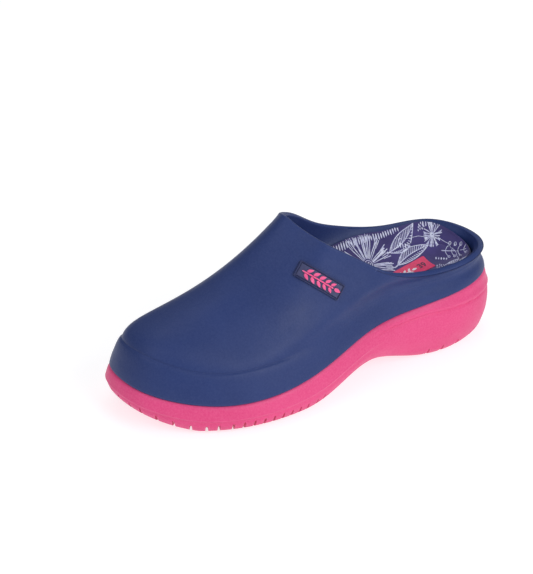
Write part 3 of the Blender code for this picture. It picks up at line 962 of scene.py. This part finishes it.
    def build(self, name, finish):
        return add_mesh(name, self.points, self.faces, [finish], sharp=40)


def make_print(cover, finish):
    """Flowers, leaves, ferns and dashes in white line, over the whole footbed."""
    art = Print(tree_of(cover))
    art.rosette((-17, 56), 3.4, 16.5, 48)
    art.leaf((-19.5, 73), (-27, 95), 8, -1.5, 17)
    art.leaf((-11, 74), (-15.5, 100), 7.5, 1.8, 17)
    art.rosette((-18.5, 104.5), 1.5, 6, 22)
    art.fern((-9, 106), (0, 119), 4.2, 4)
    art.scales((3.5, 97.5), 1.5, 4)
    art.scales((-24, 99), 1.2, 3)
    art.leaf((4, 102), (8, 114), 4.6, 1, 9)
    art.leaf((9, 100), (15.5, 112), 4.6, 1, 9)
    art.dashes([(-28.4, 28), (-28.6, 40), (-28.6, 52), (-27.9, 62), (-27.3, 72),
                (-28, 84)], 2.3, 1.8)
    art.dashes([(-25.5, 36), (-25.2, 44)], 1.6, 1.9)
    art.stroke([(-23, 86), (-21.6, 95.8), (-18.2, 102.9), (-14.4, 108.2), (-9.8, 111.5),
                (-3.4, 113.3), (2.8, 111.6), (9, 106.5), (13, 98)], [0.15, 0.3, 0.3, 0.15])
    art.circle((-22.5, 83), 1.3, 0.45)
    art.dashes([(-21, 80), (-19.5, 88)], 1.6, 1.8)
    art.dashes([(-6, 100), (-2, 106)], 2.2, 1.7)
    art.dashes([(-24.5, 101), (-20, 111.5), (-13, 117)], 1.8, 1.9)
    art.leaf((12, 58), (21, 92), 8.5, 2, 18)
    art.rosette((13, 38), 3.4, 14, 28)
    art.dashes([(28, 24), (26, 44), (24.5, 66)], 3, 2.1)
    art.rosette((-13, 6), 3, 16, 26)
    art.leaf((-14, 24), (-4, 44), 7.5, 1.5, 14)
    art.leaf((12, 14), (29, -18), 9, 2, 16)
    art.leaf((-2, -12), (4, -46), 9.5, -2.5, 18)
    art.fern((16, -26), (30, -50), 5.5, 5)
    art.leaf((-24, -12), (-34, -38), 8, -1.5, 14)
    art.rosette((-18, -54), 3.2, 15, 26)
    art.rosette((16, -76), 3.4, 17, 28)
    art.leaf((-12, -74), (-14, -106), 9, 2, 16)
    art.scales((-30, -78), 1.7, 4)
    art.scales((6, 16), 1.6, 4)
    return art.build("insole_print", finish)


# ---- materials


def shader(name, colour, roughness):
    """A new material, its node tree and its Principled shader."""
    made = bpy.data.materials.new(name)
    made.use_nodes = True
    made.diffuse_color = (*colour, 1)
    tree = made.node_tree
    main = tree.nodes["Principled BSDF"]
    fill(main, Base_Color=(*colour, 1), Roughness=roughness)
    return made, tree, main


def fill(node, **values):
    """Sets a node's inputs, with _ for a space in their names."""
    for name, value in values.items():
        node.inputs[name.replace("_", " ")].default_value = value


def coordinates(tree):
    return tree.nodes.new("ShaderNodeTexCoord").outputs["Object"]


def noise(tree, scale, detail=3, rough=0.55):
    """Noise from 0 to 1, with scale in repeats per metre."""
    made = tree.nodes.new("ShaderNodeTexNoise")
    fill(made, Scale=scale, Detail=detail, Roughness=rough)
    tree.links.new(coordinates(tree), made.inputs["Vector"])
    return made.outputs["Fac"]


def spread(tree, value, low, high, start=0.3, end=0.7):
    """Maps a value from one range to another."""
    made = tree.nodes.new("ShaderNodeMapRange")
    fill(made, From_Min=start, From_Max=end, To_Min=low, To_Max=high)
    tree.links.new(value, made.inputs["Value"])
    return made.outputs["Result"]


def mix(tree, share, first, second):
    """Goes from the first colour to the second with share."""
    made = tree.nodes.new("ShaderNodeMix")
    made.data_type = "RGBA"
    for socket, colour in (("A", first), ("B", second)):
        target = [s for s in made.inputs if s.name == socket and s.type == "RGBA"][0]
        if isinstance(colour, tuple):
            target.default_value = (*colour, 1)
        else:
            tree.links.new(colour, target)
    tree.links.new(share, made.inputs["Factor"])
    return [s for s in made.outputs if s.type == "RGBA"][0]


def bump(tree, main, height, distance, strength=1, under=None):
    made = tree.nodes.new("ShaderNodeBump")
    fill(made, Distance=distance, Strength=strength)
    tree.links.new(height, made.inputs["Height"])
    if under is not None:
        tree.links.new(under, made.inputs["Normal"])
    tree.links.new(made.outputs["Normal"], main.inputs["Normal"])
    return made.outputs["Normal"]


def dress(tree, main, tone, gloss, low, high):
    """Joins a colour, and a roughness that goes from low to high with gloss."""
    tree.links.new(tone, main.inputs["Base Color"])
    tree.links.new(spread(tree, gloss, low, high), main.inputs["Roughness"])


def clouded(tree, scale, detail, first, second, start=0.3, end=0.7):
    """Two colours in soft clouds."""
    return mix(tree, spread(tree, noise(tree, scale, detail), 0, 1, start, end), first, second)


def rubber(name, colour, deep, fleck_and_edge_highlight, rough, grain):
    """Moulded rubber: cloudy colour, fine grain, uneven gloss, pale flecks, and a painted highlight on
    convex edges.
    """
    made, tree, main = shader(name, colour, rough)
    tone = clouded(tree, 22, 4, deep, colour)
    tone = mix(tree, spread(tree, noise(tree, 900, 2), 0, 0.22), tone, fleck_and_edge_highlight)
    # Convex edges are painted paler: a painted highlight.
    edge_highlight_mask = tree.nodes.new("ShaderNodeNewGeometry").outputs["Pointiness"]
    tone = mix(tree, spread(tree, edge_highlight_mask, 0, 1, 0.52, 0.62), tone, fleck_and_edge_highlight)
    dress(tree, main, tone, noise(tree, 60, 5, 0.65), rough - 0.06, rough + 0.08)
    soft = bump(tree, main, noise(tree, 90, 2), 0.00022)
    bump(tree, main, noise(tree, grain, 2, 0.6), 0.00006, 1, soft)
    fill(main, Specular_IOR_Level=0.3)
    return made


def fabric(name, colour, deep, thread):
    """Plain weave in cloudy tone, with painted shade in the hollows between its threads."""
    made, tree, main = shader(name, colour, 0.85)
    weave = tree.nodes.new("ShaderNodeMath")
    weave.operation = "MAXIMUM"
    for k, direction in enumerate("XY"):
        wave = tree.nodes.new("ShaderNodeTexWave")
        wave.bands_direction = direction
        fill(wave, Scale=2 * pi / (20 * thread), Distortion=0.6, Detail_Scale=3)
        tree.links.new(coordinates(tree), wave.inputs["Vector"])
        tree.links.new(wave.outputs["Fac"], weave.inputs[k])
    tone = clouded(tree, 55, 4, deep, colour)
    # Darker where the weave is low: painted shade in the hollows between threads.
    tone = mix(tree, spread(tree, weave.outputs["Value"], 0.35, 0, 0.3, 1), tone, deep)
    dress(tree, main, tone, noise(tree, 200), 0.72, 0.92)
    bump(tree, main, weave.outputs["Value"], 0.00012, 0.8)
    fill(main, Sheen_Weight=0.25, Sheen_Roughness=0.5)
    return made


def foam(name, colour, deep):
    """Closed-cell foam with fine pores, with painted shade darkening each pore."""
    made, tree, main = shader(name, colour, 0.8)
    pores = tree.nodes.new("ShaderNodeTexVoronoi")
    fill(pores, Scale=1500)
    tree.links.new(coordinates(tree), pores.inputs["Vector"])
    pit = spread(tree, pores.outputs["Distance"], 0, 1, 0.1, 0.6)
    tone = clouded(tree, 70, 3, deep, colour)
    # Darker in the pits of the pores: painted shade.
    tone = mix(tree, spread(tree, pit, 0.3, 0, 0, 1), tone, deep)
    dress(tree, main, tone, noise(tree, 300), 0.7, 0.9)
    bump(tree, main, pit, 0.00015, 0.7)
    return made


def ink(name, colour, deep, rough):
    """Printed ink that lies a little unevenly."""
    made, tree, main = shader(name, colour, rough)
    tone = clouded(tree, 420, 3, deep, colour, 0.35, 0.6)
    dress(tree, main, tone, noise(tree, 800), rough - 0.08, rough + 0.1)
    bump(tree, main, noise(tree, 2200, 2), 0.00004, 0.7)
    return made


def make_materials():
    return {
        "upper": rubber("upper_rubber", NAVY, NAVY_DEEP, NAVY_FLECK_AND_EDGE_HIGHLIGHT, 0.47, 1500),
        "outsole": rubber("outsole_rubber", PINK, PINK_DEEP, PINK_FLECK_AND_EDGE_HIGHLIGHT, 0.46, 1300),
        "foam": foam("insole_foam", (0.80, 0.77, 0.72), (0.62, 0.58, 0.54)),
        "cover": fabric("insole_fabric", (0.060, 0.045, 0.200), (0.035, 0.026, 0.130), 0.0007),
        "print": ink("insole_ink", (0.68, 0.71, 0.86), (0.44, 0.45, 0.68), 0.7),
        "film": ink("label_film", (0.75, 0.045, 0.150), (0.66, 0.035, 0.120), 0.42),
        "number": ink("label_number", (0.02, 0.02, 0.05), (0.03, 0.03, 0.07), 0.5),
        "white": ink("label_white", (0.86, 0.84, 0.88), (0.74, 0.72, 0.78), 0.5),
        # Badge rim: near-black, painted shade of the groove round the badge. Each badge rubber's third
        # colour gives pale flecks and a painted highlight on convex edges.
        "rim": rubber("badge_rim_groove_shade", (0.012, 0.018, 0.070), (0.008, 0.012, 0.050),
                      (0.060, 0.075, 0.200), 0.5, 1800),
        "panel": rubber("badge_panel", (0.045, 0.050, 0.125), (0.034, 0.040, 0.105),
                        (0.10, 0.11, 0.22), 0.5, 1800),
        "mark": rubber("badge_mark", (0.85, 0.085, 0.260), (0.78, 0.07, 0.230),
                       (0.92, 0.2, 0.4), 0.42, 1800),
    }


# ---- camera, floor and light


def look_at(thing, target):
    thing.rotation_mode = "QUATERNION"
    thing.rotation_quaternion = (Vector(target) - thing.location).to_track_quat("-Z", "Y")


def make_camera():
    data = bpy.data.cameras.new("camera")
    data.sensor_width = 36
    data.lens = LENS
    data.clip_start = 0.1
    data.clip_end = 50
    made = linked("camera", data)
    made.location = CAMERA
    look_at(made, TARGET)
    bpy.context.scene.camera = made


def softbox(name, azimuth, elevation, distance, size, power):
    """A square soft light aimed at the shoe, placed by its bearing, as seen from the shoe."""
    a, e = radians(azimuth), radians(elevation)
    data = bpy.data.lights.new(name, "AREA")
    data.shape = "SQUARE"
    data.size = size
    data.energy = power
    made = linked(name, data)
    bearing = Vector((sin(a) * cos(e), -cos(a) * cos(e), sin(e)))
    made.location = bearing * distance + Vector(AIM)
    look_at(made, AIM)


def make_stage():
    """A pale floor, a bright even room and three soft lights."""
    mesh = bpy.data.meshes.new("floor")
    corners = [(x * FLOOR_SIZE, y * FLOOR_SIZE, FLOOR_LEVEL)
               for x, y in ((-1, -1), (1, -1), (1, 1), (-1, 1))]
    mesh.from_pydata(corners, [], [[0, 1, 2, 3]])
    floor = linked("floor", mesh)
    made, _, surface = shader("floor_paint", (0.45, 0.45, 0.46), 0.7)
    fill(surface, Emission_Color=(1, 1, 1, 1), Emission_Strength=FLOOR_GLOW)
    mesh.materials.append(made)
    world = bpy.data.worlds.new("room")
    world.use_nodes = True
    fill(world.node_tree.nodes["Background"], Color=(0.93, 0.96, 1, 1), Strength=ROOM_LIGHT)
    bpy.context.scene.world = world
    for light in LIGHTS:
        softbox(*light)
    bpy.context.scene.view_settings.view_transform = "Standard"


def main():
    make_camera()
    make_stage()
    finish = make_materials()
    fine = Lines(384)
    upper = make_upper(fine, finish["upper"])
    outsole = make_outsole(fine, finish["outsole"])
    foam_bed, cover = make_insole(Lines(320), finish["foam"], finish["cover"])
    badge, mark = make_badge(upper, finish["rim"], finish["panel"], finish["mark"])
    label, twig, number = make_label(cover, finish["film"], finish["number"], finish["white"])
    flowers = make_print(cover, finish["print"])

    for piece, node, slot in ((upper, "upper", "upper_rubber"), (outsole, "outsole", "outsole_rubber"),
                              (badge, "badge_plate", "badge_rubber"), (mark, "badge_emblem", "badge_mark")):
        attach(piece, "clog")
        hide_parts(node)
    for piece, node, slot in ((foam_bed, "insole_foam", "insole_foam"),
                              (cover, "insole_cover", "insole_fabric"),
                              (label, "insole_label", "label_film")):
        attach(piece, "insole")
        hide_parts(node)
    for piece in (flowers, twig, number):
        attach(piece, "insole")
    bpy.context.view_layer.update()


main()
